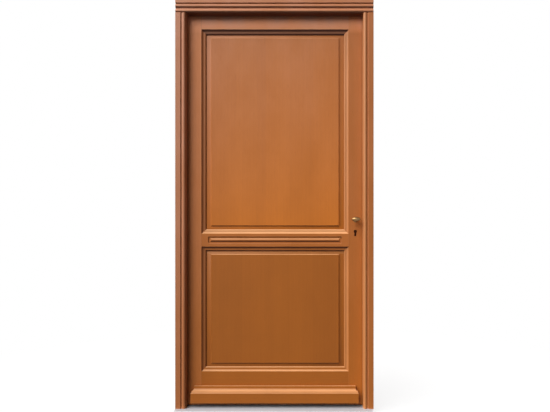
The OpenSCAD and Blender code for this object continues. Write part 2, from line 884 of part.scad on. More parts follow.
module cylinder_screw_place() {
    translate([leaf_x, mid_y, key_z + cylinder_r - cylinder_h + 6]) rotate([0, 90, 0]) children();
}

cylinder_screw_l = backset + 3;

// Openings through a plate of the case for the follower's journal and the cylinder
module case_openings(y0, y1) {
    rod_y(spindle_x, spindle_z, y0, y1, follower_r + fit);
    cylinder_outline(play, y0, y1);
}

// Tray of the case: back, rim, and the stump that guides the dead bolt
module lock_case() {
    color(steel) difference() {
        union() {
            difference() {
                block([case_x0, case_y0 + sheet_t, case_z0], [case_x1, case_y1, case_z1]);
                block(
                    [case_x0 + sheet_t, case_y0, case_z0 + sheet_t],
                    [case_x1 - sheet_t, case_y1 - sheet_t, case_z1 - sheet_t]
                );
            }
            rod_y(stump_x, dead_z0 + dead_h / 2, case_y0 + sheet_t, case_y1 - sheet_t + over / 2, stump_r);
        }
        case_openings(case_y0, case_y1 + over);
        bolt_ways(case_x1 - sheet_t - over, case_x1 + over, play);
        cylinder_screw_place() screw_bore(plate_screw_d, plate_screw_head, cylinder_screw_l);
    }
}

module lock_cover() {
    color(steel) difference() {
        block([case_x0, case_y0, case_z0], [case_x1, case_y0 + sheet_t, case_z1]);
        case_openings(case_y0 - over, case_y0 + sheet_t + over);
    }
}

module lock_faceplate() {
    color(brass) difference() {
        faceplate_outline(0);
        bolt_ways(leaf_x - plate_t - over, leaf_x + over, play);
        faceplate_screw_places() screw_bore(plate_screw_d, plate_screw_head, plate_screw_l);
        cylinder_screw_place() screw_bore(plate_screw_d, plate_screw_head, cylinder_screw_l);
    }
}

module faceplate_screws() {
    color(brass) faceplate_screw_places() screw(plate_screw_d, plate_screw_head, plate_screw_l);
}

module cylinder_screw() {
    color(steel) cylinder_screw_place() screw(plate_screw_d, plate_screw_head, cylinder_screw_l);
}

// Cylinder body, parted in the middle where the cam turns, with a bridge below
module lock_cylinder() {
    cam_gap = cam_t + 2 * play;
    color(bronze) difference() {
        cylinder_outline(0, leaf_y0 + cylinder_recess, leaf_y1 - cylinder_recess);
        rod_y(spindle_x, key_z, leaf_y0, leaf_y1, plug_r + fit);
        rod_y(spindle_x, key_z, mid_y - cam_gap / 2, mid_y + cam_gap / 2, cam_r + play);
        cylinder_screw_place() screw_bore(plate_screw_d, plate_screw_head, cylinder_screw_l);
    }
}

module cylinder_plug() {
    keyway_w = 2.2;
    keyway_h = 9;
    keyway_d = 14;
    y0 = leaf_y0 + cylinder_recess;
    y1 = leaf_y1 - cylinder_recess;
    color(bronze) difference() {
        union() {
            rod_y(spindle_x, key_z, y0, y1, plug_r);
            along_y(mid_y - cam_t / 2, mid_y + cam_t / 2) intersection() {
                translate([spindle_x, key_z]) circle(r = cam_r);
                translate([spindle_x - plug_r, key_z - cam_r]) square([2 * plug_r, cam_r + plug_r]);
            }
        }
        for (y = [[y0 - over, y0 + keyway_d], [y1 - keyway_d, y1 + over]])
            block(
                [spindle_x - keyway_w / 2, y[0], key_z - keyway_h / 2],
                [spindle_x + keyway_w / 2, y[1], key_z + keyway_h / 2]
            );
    }
}

// Follower: journals in both plates, a square hole, and an arm that draws the latch back
module lock_follower() {
    hole = spindle_s + 2 * fit;
    color(steel) difference() {
        union() {
            rod_y(spindle_x, spindle_z, case_y0, case_y1, follower_r);
            block(
                [spindle_x - arm_w / 2, mid_y - arm_t / 2, spindle_z],
                [spindle_x + arm_w / 2, mid_y + arm_t / 2, spindle_z + arm_r]
            );
        }
        block(
            [spindle_x - hole / 2, case_y0 - over, spindle_z - hole / 2],
            [spindle_x + hole / 2, case_y1 + over, spindle_z + hole / 2]
        );
    }
}

// Latch: bevelled head, tail past the follower, a lug for its arm and one for the spring
tail_h = 6;
tail_z0 = spindle_z + arm_r + 2;
lug_x1 = spindle_x - arm_w / 2 - play;
lug_l = 8;
spring_lug_l = 5;
spring_lug_h = 6.5;
latch_x0 = leaf_x - latch_l;

module latch_bolt() {
    tip = leaf_x + latch_out;
    flat = bolt_t / 4; // thickness left at the tip
    y0 = mid_y - bolt_t / 2;
    y1 = mid_y + bolt_t / 2;
    color(brass) {
        along_z(latch_z0, latch_z0 + latch_h)
            polygon([[latch_x0, y0], [leaf_x + play, y0], [tip, y1 - flat], [tip, y1], [latch_x0, y1]]);
        block(
            [lug_x1 - lug_l, mid_y - arm_t / 2, tail_z0],
            [latch_x0 + over, mid_y + arm_t / 2, tail_z0 + tail_h]
        );
        block(
            [lug_x1 - lug_l, mid_y - arm_t / 2, spindle_z + follower_r + play],
            [lug_x1, mid_y + arm_t / 2, tail_z0 + over]
        );
        block(
            [latch_x0, mid_y - arm_t / 2, latch_z0 + latch_h - over],
            [latch_x0 + spring_lug_l, mid_y + arm_t / 2, latch_z0 + latch_h + spring_lug_h]
        );
    }
}

// Compression spring between the latch's upper lug and the case's rear wall
spring_wire = 1;
spring_mean_r = 2.4;
spring_turns = 10;
spring_steps = 12; // rings in a turn
spring_sides = 6;

module latch_spring() {
    x0 = case_x0 + sheet_t + play + spring_wire / 2;
    x1 = latch_x0 - play - spring_wire / 2;
    axis_z = latch_z0 + latch_h + spring_lug_h / 2;
    rings = spring_turns * spring_steps;
    points = [for (i = [0:rings], j = [0:spring_sides - 1])
        let (
            turn = 360 * i / spring_steps,
            around = 360 * j / spring_sides,
            r = spring_mean_r + spring_wire / 2 * cos(around),
            x = x0 + (x1 - x0) * i / rings + spring_wire / 2 * sin(around)
        )
        [x, mid_y + r * cos(turn), axis_z + r * sin(turn)]];
    sides = [for (i = [0:rings - 1], j = [0:spring_sides - 1])
        let (next = (j + 1) % spring_sides, a = i * spring_sides, b = (i + 1) * spring_sides)
        [a + j, b + j, b + next, a + next]];
    ends = [
        [for (j = [0:spring_sides - 1]) j],
        [for (j = [spring_sides - 1:-1:0]) rings * spring_sides + j]
    ];
    color(steel) polyhedron(points, concat(sides, ends));
}

// Dead bolt, drawn back, with the slot that runs on the case's stump
stump_x = leaf_x - 29;

module dead_bolt() {
    slot_r = stump_r + play;
    mid_z = dead_z0 + dead_h / 2;
    back_x = stump_x - dead_throw - 12;
    color(brass) difference() {
        block(
            [back_x, mid_y - bolt_t / 2, dead_z0],
            [leaf_x - play, mid_y + bolt_t / 2, dead_z0 + dead_h]
        );
        for (x = [stump_x, stump_x - dead_throw]) rod_y(x, mid_z, leaf_y0, leaf_y1, slot_r);
        block([stump_x - dead_throw, leaf_y0, mid_z - slot_r], [stump_x, leaf_y1, mid_z + slot_r]);
    }
}

// Strike plate on the lock jamb, with a tongue that leads the latch in

module strike_outline(gap, past) {
    lead_z = [latch_z0 - 4, latch_z0 + latch_h + 4];
    block(
        [rebate_x - past, mid_y - faceplate_w / 2 - gap, dead_z0 - 2 * faceplate_end - gap],
        [rebate_x + plate_t, mid_y + faceplate_w / 2 + gap, latch_z0 + latch_h + 2 * faceplate_end + gap]
    );
    block(
        [rebate_x - past, mid_y, lead_z[0] - gap],
        [rebate_x + plate_t, back_y - over + gap, lead_z[1] + gap]
    );
}

module strike_screw_places() {
    for (z = [dead_z0 - faceplate_end, latch_z0 + latch_h + faceplate_end])
        translate([rebate_x, mid_y, z]) rotate([0, -90, 0]) children();
}

module keep_pockets() {
    bolt_ways(rebate_x - over, leaf_x + dead_throw + 4, 2 * play + 0.5);
}

module strike_plate() {
    color(brass) difference() {
        strike_outline(0, 0);
        bolt_ways(rebate_x - over, rebate_x + plate_t + over, 2 * play);
        strike_screw_places() screw_bore(plate_screw_d, plate_screw_head, plate_screw_l);
    }
}

module strike_screws() {
    color(brass) strike_screw_places() screw(plate_screw_d, plate_screw_head, plate_screw_l);
}

// Knobs

knob_socket = 30; // depth of the square socket from the leaf's face
grub_d = 4;
grub_out = 14; // distance of the grub screw from the leaf's face
waist_r = neck_d / 2 - 0.6; // the neck is a little thinner between its ring and the knob
neck_ring = 1.5;
oval_facets = 12; // rings along half of an oval knob

// Inside pieces are the outside ones mirrored in the leaf's middle plane
module inside() {
    translate([0, mid_y, 0]) mirror([0, 1, 0]) translate([0, -mid_y, 0]) children();
}

module collar() {
    color(brass) difference() {
        translate([spindle_x, leaf_y0, spindle_z]) rotate([90, 0, 0]) rotate_extrude() polygon([
            [neck_d / 2 + 2 * fit, 0], [collar_d / 2, 0], [collar_d / 2, collar_t / 3],
            [collar_d / 2 - collar_t, collar_t], [neck_d / 2 + 2 * fit, collar_t]
        ]);
    }
}

module collar_outside() {
    collar();
}

module collar_inside() {
    inside() collar();
}

// Oval knob: an ellipse turned about X on a waisted neck turned about Y
module knob() {
    oval = [for (i = [0:oval_facets]) let (a = 180 * i / oval_facets)
        [knob_d / 2 * sin(a), -knob_l / 2 * cos(a)]];
    knob_back = knob_out - knob_d / 2;
    hole = spindle_s + 2 * fit;
    color(brass) difference() {
        union() {
            translate([spindle_x, leaf_y0 - knob_out, spindle_z]) rotate([0, 90, 0])
                rotate_extrude() polygon(oval);
            translate([spindle_x, leaf_y0, spindle_z]) rotate([90, 0, 0]) rotate_extrude() polygon([
                [0, play], [neck_d / 2, play], [neck_d / 2, collar_t + neck_ring],
                [waist_r, collar_t + 2 * neck_ring], [waist_r, knob_back - 2 * neck_ring],
                [neck_d / 2 + neck_ring, knob_back + 2 * neck_ring], [0, knob_out]
            ]);
        }
        block(
            [spindle_x - hole / 2, leaf_y0 - knob_socket, spindle_z - hole / 2],
            [spindle_x + hole / 2, leaf_y0 + over, spindle_z + hole / 2]
        );
        translate([spindle_x, leaf_y0 - grub_out, spindle_z - neck_d])
            cylinder(h = neck_d, d = grub_d + 2 * fit);
    }
}

module knob_outside() {
    knob();
}

module knob_inside() {
    inside() knob();
}

module spindle() {
    past = knob_socket - play;
    color(steel) block(
        [spindle_x - spindle_s / 2, leaf_y0 - past, spindle_z - spindle_s / 2],
        [spindle_x + spindle_s / 2, leaf_y1 + past, spindle_z + spindle_s / 2]
    );
}

module grub_screw() {
    length = waist_r - spindle_s / 2;
    translate([spindle_x, leaf_y0 - grub_out, spindle_z - spindle_s / 2 - length])
        difference() {
            cylinder(h = length, d = grub_d);
            block([-grub_d, -grub_d / 8, -over], [grub_d, grub_d / 8, length / 3]);
        }
}

module knob_grub_screws() {
    color(steel) {
        grub_screw();
        inside() grub_screw();
    }
}

jamb_hinge_side();
jamb_lock_side();
frame_head();
threshold();
threshold_screws();
seal_hinge_side();
seal_lock_side();
seal_head();
hinge_frame_flag(0);  // hinge_frame_flag_bottom
hinge_frame_flag(1);  // hinge_frame_flag_middle
hinge_frame_flag(2);  // hinge_frame_flag_top
hinge_pin(0);  // hinge_pin_bottom
hinge_pin(1);  // hinge_pin_middle
hinge_pin(2);  // hinge_pin_top
hinge_washer(0);  // hinge_washer_bottom
hinge_washer(1);  // hinge_washer_middle
hinge_washer(2);  // hinge_washer_top
hinge_frame_screws();
strike_plate();
strike_screws();
stile_hinge_side();
stile_lock_side();
rail_top();
rail_lock();
rail_bottom();
panel_upper();
panel_lower();
weather_bar();
bottom_seal();
hinge_leaf_flag(0);  // hinge_leaf_flag_bottom
hinge_leaf_flag(1);  // hinge_leaf_flag_middle
hinge_leaf_flag(2);  // hinge_leaf_flag_top
hinge_leaf_screws();
lock_case();
lock_cover();
lock_faceplate();
faceplate_screws();
latch_spring();
lock_cylinder();
cylinder_screw();
collar_outside();
collar_inside();
knob_outside();
knob_inside();
spindle();
lock_follower();
knob_grub_screws();
latch_bolt();
dead_bolt();
cylinder_plug();
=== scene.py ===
"""Panelled front door: procedural materials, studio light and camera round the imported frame."""

import json
import math

import bmesh
import bpy
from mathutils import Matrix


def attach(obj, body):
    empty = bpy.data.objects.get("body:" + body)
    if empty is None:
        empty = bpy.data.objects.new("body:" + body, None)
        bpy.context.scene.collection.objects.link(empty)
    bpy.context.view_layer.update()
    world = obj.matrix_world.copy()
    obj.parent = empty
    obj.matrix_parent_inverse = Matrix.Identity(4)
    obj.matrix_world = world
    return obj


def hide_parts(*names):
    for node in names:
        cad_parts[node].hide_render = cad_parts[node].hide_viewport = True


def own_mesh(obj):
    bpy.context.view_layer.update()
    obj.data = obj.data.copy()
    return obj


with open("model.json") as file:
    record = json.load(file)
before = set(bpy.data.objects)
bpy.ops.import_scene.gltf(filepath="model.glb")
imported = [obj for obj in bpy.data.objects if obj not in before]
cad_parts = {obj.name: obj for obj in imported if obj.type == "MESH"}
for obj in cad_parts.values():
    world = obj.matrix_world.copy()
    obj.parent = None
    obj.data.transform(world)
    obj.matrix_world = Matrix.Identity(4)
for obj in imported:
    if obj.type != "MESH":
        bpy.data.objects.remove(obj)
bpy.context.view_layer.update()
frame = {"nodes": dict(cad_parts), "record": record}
nodes = frame["nodes"]

scene = bpy.context.scene
scene.view_settings.view_transform = "Standard"


def corners_of(node):
    """Low and high corner of a solid's box, in metres."""
    box = nodes[node].bound_box
    return tuple(box[0]), tuple(box[6])


# Shading of the solids: welded corners, smooth curves, and softened arrises

SMOOTH_ANGLE = math.radians(28)
WELD = 0.00002
ARRIS = 0.0008
ARRIS_ANGLE = math.radians(32)
ARRIS_SEGMENTS = 2


def smoothing_group():
    """Geometry nodes that weld split corners and shade shallow angles smooth."""
    group = bpy.data.node_groups.new("smooth_shallow_angles", "GeometryNodeTree")
    group.interface.new_socket("Geometry", in_out="INPUT", socket_type="NodeSocketGeometry")
    group.interface.new_socket("Geometry", in_out="OUTPUT", socket_type="NodeSocketGeometry")
    new = group.nodes.new
    start = new("NodeGroupInput")
    end = new("NodeGroupOutput")
    weld = new("GeometryNodeMergeByDistance")
    weld.inputs["Distance"].default_value = WELD
    faces = new("GeometryNodeSetShadeSmooth")
    faces.domain = "FACE"
    edges = new("GeometryNodeSetShadeSmooth")
    edges.domain = "EDGE"
    edges.inputs["Shade Smooth"].default_value = False
    angle = new("GeometryNodeInputMeshEdgeAngle")
    steep = new("FunctionNodeCompare")
    steep.data_type = "FLOAT"
    steep.operation = "GREATER_THAN"
    steep.inputs[1].default_value = SMOOTH_ANGLE
    link = group.links.new
    link(start.outputs[0], weld.inputs["Geometry"])
    link(weld.outputs["Geometry"], faces.inputs["Geometry"])
    link(faces.outputs["Geometry"], edges.inputs["Geometry"])
    link(angle.outputs["Unsigned Angle"], steep.inputs[0])
    link(steep.outputs[0], edges.inputs["Selection"])
    link(edges.outputs["Geometry"], end.inputs[0])
    return group


SMOOTHING = smoothing_group()


def soften(obj, width=0.0):
    """Smooth shading with flat faces kept flat, and a small rounding along arrises when a width is given."""
    if width:
        weld = obj.modifiers.new("weld", "WELD")
        weld.merge_threshold = WELD
        bevel = obj.modifiers.new("arris", "BEVEL")
        bevel.width = width
        bevel.segments = ARRIS_SEGMENTS
        bevel.limit_method = "ANGLE"
        bevel.angle_limit = ARRIS_ANGLE
        bevel.use_clamp_overlap = True
        bevel.harden_normals = False
        bevel.miter_outer = "MITER_ARC"
    smooth = obj.modifiers.new("smooth", "NODES")
    smooth.node_group = SMOOTHING
    flat = obj.modifiers.new("flat_faces", "WEIGHTED_NORMAL")
    flat.mode = "FACE_AREA"
    flat.keep_sharp = True


# Materials


def srgb(r, g, b):
    """Colour given as 0 to 255 display values, in linear light."""
    return tuple((v / 255 / 12.92) if v <= 10 else ((v / 255 + 0.055) / 1.055) ** 2.4 for v in (r, g, b))


def stretch(along, share):
    """Scale of coordinates that draws a pattern out along an axis."""
    return tuple(share if axis == along else 1.0 for axis in "xyz")


class Graph:
    """Short names for building a material's nodes."""

    def __init__(self, name):
        self.material = bpy.data.materials.new(name)
        self.material.use_nodes = True
        self.tree = self.material.node_tree
        self.shader = self.tree.nodes["Principled BSDF"]

    def new(self, kind):
        return self.tree.nodes.new("ShaderNode" + kind)

    def put(self, value, socket):
        """Link a socket to an input, or set the input to a value."""
        if isinstance(value, bpy.types.NodeSocket):
            self.tree.links.new(value, socket)
        else:
            socket.default_value = value

    def fill(self, node, **values):
        """Put values into a node's inputs by name, with _ for a space."""
        for name, value in values.items():
            self.put(value, node.inputs[name.replace("_", " ")])

    def coordinates(self, scale=(1, 1, 1), offset=(0, 0, 0)):
        """Object coordinates in metres, moved and then scaled."""
        place = self.new("TexCoord").outputs["Object"]
        for operation, vector in (("ADD", offset), ("MULTIPLY", scale)):
            node = self.new("VectorMath")
            node.operation = operation
            self.put(place, node.inputs[0])
            self.put(vector, node.inputs[1])
            place = node.outputs[0]
        return place

    def separate(self, vector):
        """Sockets X, Y and Z of a vector."""
        node = self.new("SeparateXYZ")
        self.put(vector, node.inputs[0])
        return node.outputs

    def noise(self, vector, scale, detail=3.0, roughness=0.6):
        node = self.new("TexNoise")
        self.fill(node, Vector=vector, Scale=scale, Detail=detail, Roughness=roughness)
        return node.outputs["Fac"]

    def bands(self, vector, direction, **values):
        """Saw-toothed bands that follow each other along a direction."""
        node = self.new("TexWave")
        node.wave_type = "BANDS"
        node.bands_direction = direction
        node.wave_profile = "SAW"
        self.fill(node, Vector=vector, **values)
        return node.outputs["Fac"]

    def math(self, operation, *values):
        node = self.new("Math")
        node.operation = operation
        for value, socket in zip(values, node.inputs):
            self.put(value, socket)
        return node.outputs[0]

    def remap(self, value, span, to):
        """Value carried from one range to another, and held within it."""
        node = self.new("MapRange")
        self.fill(node, Value=value, From_Min=span[0], From_Max=span[1], To_Min=to[0], To_Max=to[1])
        return node.outputs["Result"]

    def ramp(self, value, stops):
        node = self.new("ValToRGB")
        self.fill(node, Fac=value)
        points = node.color_ramp.elements
        while len(points) < len(stops):
            points.new(1.0)
        for point, (position, colour) in zip(points, stops):
            point.position = position
            point.color = (*colour, 1.0)
        return node.outputs["Color"]

    def mix(self, factor, a, b):
        """Colour between two others, which are sockets or linear colours."""
        node = self.new("Mix")
        node.data_type = "RGBA"
        self.fill(node, Factor=factor)
        ends = [socket for socket in node.inputs if socket.type == "RGBA"]
        for value, socket in zip((a, b), ends):
            self.put((*value, 1.0) if isinstance(value, tuple) else value, socket)
        return [socket for socket in node.outputs if socket.type == "RGBA"][0]

    def bump(self, height, strength, distance):
        node = self.new("Bump")
        self.fill(node, Strength=strength, Distance=distance, Height=height)
        return node.outputs["Normal"]

    def crevice(self, distance):
        """1 in the open, less where the surface is close to another one."""
        node = self.new("AmbientOcclusion")
        node.samples = 6
        node.only_local = False
        self.fill(node, Distance=distance)
        return node.outputs["AO"]


# Wood. Tones are shares of the display value, slopes are heights of a face's normal.

DISPLAY_GAMMA = 2.3
PIECE_OFFSET = (3.1, 1.7, 2.3)
FULL = (0.0, 1.0)

GRAIN_STRETCH = 0.045
SLOW_SCALE = 5.0
SLOW_SHARE = 0.22
RINGS = {"Scale": 16.0, "Distortion": 7.0, "Detail": 2.5, "Detail_Scale": 1.2}
RING_SHARE = 0.025
FIBRE_STRETCH = 0.2 * GRAIN_STRETCH
FIBRE_SCALE = 330.0
FIBRE_SHARE = 0.06
FIGURE_LEVEL = 0.3225
STAIN = (
    (0.18, srgb(152, 80, 20)),
    (0.50, srgb(190, 107, 30)),
    (0.86, srgb(206, 124, 46)),
)

PORE_STRETCH = 0.5 * GRAIN_STRETCH
PORE_SCALE = 900.0
PORE_RANGE = (0.62, 0.72)
PORE_SHARE = 0.16
PORE_COLOUR = srgb(86, 40, 14)

PATCH_STRETCH = (1, 1, 0.5)
PATCH_SCALE = 7.0
PATCH_RANGE = (0.3, 0.7)
STAIN_MOTTLE = (0.955, 1.045)
PAINTED_SHEEN_MOTTLE = (0.7, 1.3)
PAINTED_LEDGE_MOTTLE = (0.8, 1.0)

BOARD_WIDTH = 0.124
BOARD_LEFT = -0.5
BOARD_SHIFT = 0.37
BOARD_MOTTLE = (0.97, 1.03)

# Tones, painted sheen, painted light and painted shade cover the outside half of the door only
top_rail_low, top_rail_high = corners_of("rail_top")
LEAF_MIDDLE = (top_rail_low[1] + top_rail_high[1]) / 2
OUTSIDE_FADE = 0.012
OUTSIDE_RANGE = (LEAF_MIDDLE - OUTSIDE_FADE, LEAF_MIDDLE + OUTSIDE_FADE)
INSIDE_TONE = 0.92
# Painted pale pinkish reflection of the sky on the varnish, stronger where the top rail is painted lighter
NO_PAINTED_SHEEN = (0.0, 0.0)
PAINTED_SHEEN_COLOUR = srgb(196, 160, 148)
PAINTED_SHEEN_LIFT = 0.32
TOP_RAIL_RANGE = (top_rail_low[2], top_rail_high[2])

# Painted light on faces that look up, stopping below the leaf's top, and painted shade on faces that look
# down
PAINTED_LIGHT_COLOUR = srgb(231, 173, 120)
PAINTED_SHADE_COLOUR = srgb(58, 25, 12)
PAINTED_LEDGE_SLOPE = (0.08, 0.7)
PAINTED_LEDGE_SHARE = 0.6
TOP_EDGE = 0.001
BELOW_TOP_RANGE = (top_rail_high[2] - 2 * TOP_EDGE, top_rail_high[2] - TOP_EDGE)
PAINTED_UNDER_SLOPE = (-0.5, -0.03)
PAINTED_UNDER_SHARE = 0.82

# Painted light (pale, on the frame) and painted shade (dark, on the leaf) in quirks and corners, less on
# faces that look up: share and colour
CREVICE_PAINTED_LIGHT = (0.75, srgb(218, 146, 102))
CREVICE_PAINTED_SHADE = (0.6, srgb(60, 25, 9))
CORNER_REACH = 0.02
CORNER_RANGE = (0.15, 0.75)
CREVICE_UP_SLOPE = (0.1, 0.6)
CREVICE_UP_LEFT = 0.2

# Widths of painted shade and painted light along edges: run mouldings, the jamb's bead, and the panels'
# margins with their tongues
MOULDING = 0.0225
BEAD = 0.015
SIDE_MARGIN = 0.0345
END_MARGIN = 0.026
EDGE_FADE = 0.001

VARNISH_ROUGHNESS = 0.44
FIBRE_ROUGHNESS = 0.10
VARNISH_SPECULAR = 0.3
FIBRE_HEIGHT = 0.5
PORE_HEIGHT = -0.6


def figured(g, along, offset, fibre):
    """Colour of the stained figure: growth rings, slow changes and fibres."""
    drawn_out = g.coordinates(stretch(along, GRAIN_STRETCH), offset)
    slow = g.noise(drawn_out, SLOW_SCALE, detail=2.0, roughness=0.5)
    rings = g.bands(drawn_out, "X" if along == "z" else "Z", **RINGS)
    figure = g.math("MULTIPLY_ADD", rings, RING_SHARE, FIGURE_LEVEL)
    figure = g.math("MULTIPLY_ADD", slow, SLOW_SHARE, figure)
    figure = g.math("MULTIPLY_ADD", fibre, FIBRE_SHARE, figure)
    return g.ramp(figure, STAIN)


def board_shade(g, x, width, seed):
    """A shade for each of the boards that a panel is glued up from."""
    across = g.math("DIVIDE", g.math("ADD", x, BOARD_SHIFT * width - BOARD_LEFT), width)
    shade = g.new("TexWhiteNoise")
    shade.noise_dimensions = "1D"
    g.fill(shade, W=g.math("ADD", g.math("FLOOR", across), float(seed)))
    return g.remap(shade.outputs["Value"], FULL, BOARD_MOTTLE)


def edge_range(low, high, axis, side, width):
    """Range along an axis over which the painted shade and light along a box's low or high side comes in."""
    i = "XYZ".index(axis)
    if side == "low":
        return low[i] + width + EDGE_FADE, low[i] + width
    return high[i] - width - EDGE_FADE, high[i] - width


def wood(
    name, low, high, along, seed, tones, painted_sheens=NO_PAINTED_SHEEN, boards=0.0, corners=CREVICE_PAINTED_SHADE, edge=None, lift=0.0
):
    """Wood of a piece between two corners: its stain and figure, with light and shade painted into its
    colour.

    along is the axis of its grain, and seed is its place in the pattern. tones are given at the piece's foot
    and head: the depth of colour, partly the stain's own and partly painted shade and light set to how light
    falls on the piece. The pair after tones, also at foot and head, is the share of a painted pale pinkish
    reflection of the sky on the varnish. boards is the width of a glued-up panel's boards, or 0. corners is
    the share and colour painted where surfaces come close: painted shade on the leaf, and on the frame
    painted light over the shade in its quirks. edge is painted shade or painted light along one side of the
    box: axis, side, width, share and colour. lift is how much lighter the colour is painted towards the
    leaf's top, as painted light that makes up for the head's shadow.
    """
    g = Graph(name)
    offset = tuple(v * seed for v in PIECE_OFFSET)
    fibre = g.noise(g.coordinates(stretch(along, FIBRE_STRETCH), offset), FIBRE_SCALE)
    pore_place = g.coordinates(stretch(along, PORE_STRETCH), offset)
    pores = g.noise(pore_place, PORE_SCALE, detail=1.0, roughness=0.5)
    patches = g.noise(g.coordinates(PATCH_STRETCH, offset), PATCH_SCALE)
    place = g.separate(g.coordinates())
    facing = g.separate(g.new("NewGeometry").outputs["Normal"])
    outside = g.remap(place["Y"], OUTSIDE_RANGE, (1.0, 0.0))
    # Painted light towards the leaf's top that makes up for the head's shadow
    painted_lift = g.remap(place["Z"], TOP_RAIL_RANGE, (0.0, lift))
    heights = (low[2], high[2])

    # Depth of colour from foot to head: partly the stain's own, partly painted shade and light
    inside_depth = INSIDE_TONE**DISPLAY_GAMMA
    depth = g.remap(place["Z"], heights, [tone**DISPLAY_GAMMA - inside_depth for tone in tones])
    depth = g.math("MULTIPLY_ADD", g.math("ADD", depth, painted_lift), outside, inside_depth)
    depth = g.math("MULTIPLY", depth, g.remap(patches, PATCH_RANGE, STAIN_MOTTLE))
    if boards:
        depth = g.math("MULTIPLY", depth, board_shade(g, place["X"], boards, seed))
    stained = g.new("VectorMath")
    stained.operation = "SCALE"
    g.put(figured(g, along, offset, fibre), stained.inputs[0])
    g.fill(stained, Scale=depth)

    # Painted pale pinkish reflection of the sky on the varnish, stronger towards the leaf's top
    painted_sheen = g.math("MULTIPLY_ADD", painted_lift, PAINTED_SHEEN_LIFT, g.remap(place["Z"], heights, painted_sheens))
    painted_sheen = g.math("MULTIPLY", painted_sheen, g.remap(patches, PATCH_RANGE, PAINTED_SHEEN_MOTTLE))
    colour = g.mix(g.math("MULTIPLY", painted_sheen, outside), stained.outputs[0], PAINTED_SHEEN_COLOUR)

    # Painted light on faces that look up, below the leaf's top, and painted shade on faces that look down
    painted_ledge_light = g.remap(facing["Z"], PAINTED_LEDGE_SLOPE, (0.0, PAINTED_LEDGE_SHARE))
    painted_ledge_light = g.math("MULTIPLY", painted_ledge_light, g.remap(patches, PATCH_RANGE, PAINTED_LEDGE_MOTTLE))
    painted_ledge_light = g.math("MULTIPLY", painted_ledge_light, g.remap(place["Z"], BELOW_TOP_RANGE, (1.0, 0.0)))
    colour = g.mix(g.math("MULTIPLY", painted_ledge_light, outside), colour, PAINTED_LIGHT_COLOUR)
    painted_under_shade = g.remap(facing["Z"], PAINTED_UNDER_SLOPE, (PAINTED_UNDER_SHARE, 0.0))
    colour = g.mix(g.math("MULTIPLY", painted_under_shade, outside), colour, PAINTED_SHADE_COLOUR)
    # Painted shade or painted light along one side of the box, by the colour given
    if edge:
        axis, side, width, edge_paint_share, edge_paint_colour = edge
        reach = g.remap(place[axis], edge_range(low, high, axis, side, width), (0.0, edge_paint_share))
        colour = g.mix(g.math("MULTIPLY", reach, outside), colour, edge_paint_colour)

    dashes = g.remap(pores, PORE_RANGE, FULL)
    colour = g.mix(g.math("MULTIPLY", dashes, PORE_SHARE), colour, PORE_COLOUR)
    # Painted shade on the leaf, painted light on the frame, where surfaces come close; less on faces that
    # look up
    corner_share, crevice_paint_colour = corners
    painted_crevice_share = g.remap(g.crevice(CORNER_REACH), CORNER_RANGE, (corner_share, 0.0))
    crevice_up_falloff = g.remap(facing["Z"], CREVICE_UP_SLOPE, (1.0, CREVICE_UP_LEFT))
    colour = g.mix(g.math("MULTIPLY", painted_crevice_share, crevice_up_falloff), colour, crevice_paint_colour)

    height = g.math("MULTIPLY_ADD", dashes, PORE_HEIGHT, g.math("MULTIPLY", fibre, FIBRE_HEIGHT))
    g.fill(
        g.shader,
        Base_Color=colour,
        Roughness=g.math("MULTIPLY_ADD", fibre, FIBRE_ROUGHNESS, VARNISH_ROUGHNESS),
        Specular_IOR_Level=VARNISH_SPECULAR,
        Normal=g.bump(height, strength=0.25, distance=0.0004),
    )
    return g.material


# Each piece's tones, painted sheen, and painted light and shade, set to how light falls on it
WOODEN = {
    "jamb_hinge_side": dict(along="z", seed=1, tones=(0.83, 0.92), painted_sheens=(0.10, 0.31), corners=CREVICE_PAINTED_LIGHT),
    "jamb_lock_side": dict(
        along="z",
        seed=2,
        tones=(0.86, 0.87),
        painted_sheens=(0.04, 0.09),
        corners=CREVICE_PAINTED_LIGHT,
        edge=("X", "low", BEAD, 0.18, PAINTED_LIGHT_COLOUR),
    ),
    "frame_head": dict(along="x", seed=3, tones=(0.96, 0.96), painted_sheens=(0.26, 0.26), corners=CREVICE_PAINTED_LIGHT),
    "stile_hinge_side": dict(
        along="z",
        seed=4,
        tones=(0.88, 1.07),
        painted_sheens=(0.03, 0.19),
        edge=("X", "high", MOULDING, 0.36, PAINTED_SHADE_COLOUR),
        lift=1.2,
    ),
    "stile_lock_side": dict(
        along="z",
        seed=5,
        tones=(0.87, 0.89),
        painted_sheens=(0.0, 0.09),
        edge=("X", "low", MOULDING, 0.16, PAINTED_LIGHT_COLOUR),
        lift=1.6,
    ),
    "rail_top": dict(
        along="x",
        seed=6,
        tones=(0.92, 0.92),
        painted_sheens=(0.16, 0.16),
        edge=("Z", "low", MOULDING, 0.62, PAINTED_SHADE_COLOUR),
        lift=2.0,
    ),
    "rail_lock": dict(
        along="x",
        seed=7,
        tones=(0.92, 0.92),
        painted_sheens=(0.04, 0.04),
        edge=("Z", "high", MOULDING, 0.45, PAINTED_LIGHT_COLOUR),
    ),
    "rail_bottom": dict(along="x", seed=8, tones=(0.83, 0.83)),
    "panel_upper": dict(
        along="z",
        seed=9,
        tones=(1.01, 0.95),
        painted_sheens=(0.0, 0.13),
        boards=BOARD_WIDTH,
        edge=("X", "low", SIDE_MARGIN, 0.10, PAINTED_SHADE_COLOUR),
    ),
    "panel_lower": dict(
        along="z",
        seed=10,
        tones=(0.82, 0.84),
        boards=BOARD_WIDTH,
        edge=("Z", "high", END_MARGIN, 0.13, PAINTED_LIGHT_COLOUR),
    ),
    "weather_bar": dict(along="x", seed=11, tones=(0.835, 0.835)),
}


# Metals and rubber

